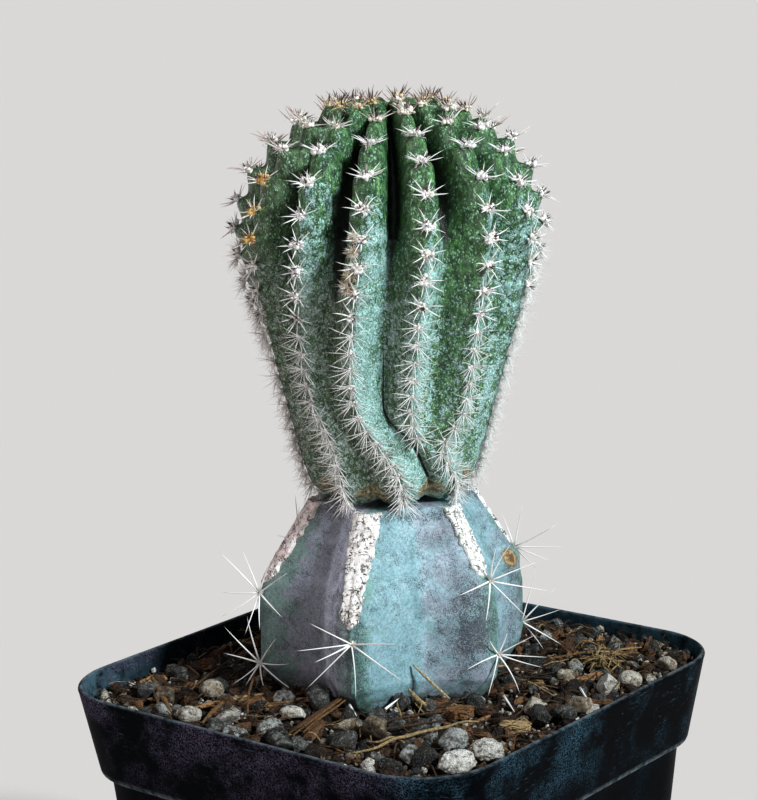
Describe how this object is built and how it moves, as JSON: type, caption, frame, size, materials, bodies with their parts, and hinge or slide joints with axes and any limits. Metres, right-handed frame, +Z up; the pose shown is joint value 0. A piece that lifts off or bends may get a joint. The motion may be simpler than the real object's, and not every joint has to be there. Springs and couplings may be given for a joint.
{
  "type": "potted echinopsis",
  "caption": "Ribbed, egg-shaped green cactus grafted on a ribbed blue-green rootstock, standing in a square black plastic pot of gritty soil.",
  "frame": {"origin": "centre of the pot's flat base, which is the middle of the bounding box's underside", "axes": "+Z up along the plant; X and Y along the sides of the square pot; the pictured side faces +X and -Y"},
  "size_m": [0.0998, 0.0998, 0.2074],
  "materials": {
    "pot_plastic": "satin",
    "soil_mix": "matte",
    "rootstock_skin": "matte",
    "scion_skin": "satin",
    "pale_stone": "matte",
    "pumice": "matte",
    "grey_stone": "matte",
    "bark": "matte"
  },
  "bodies": {
    "root": {"pot": "pot_plastic", "soil": "soil_mix", "rootstock": "rootstock_skin", "scion": "scion_skin", "pebble": "pale_stone", "pumice_left": "pumice", "speckled_stone": "grey_stone", "bean_stone": "pale_stone", "pumice_front": "pumice", "pumice_second": "pumice", "grey_stone": "grey_stone", "pale_stone": "pale_stone", "bark_chip": "bark", "wood_chip": "bark"}
  },
  "joints": []
}
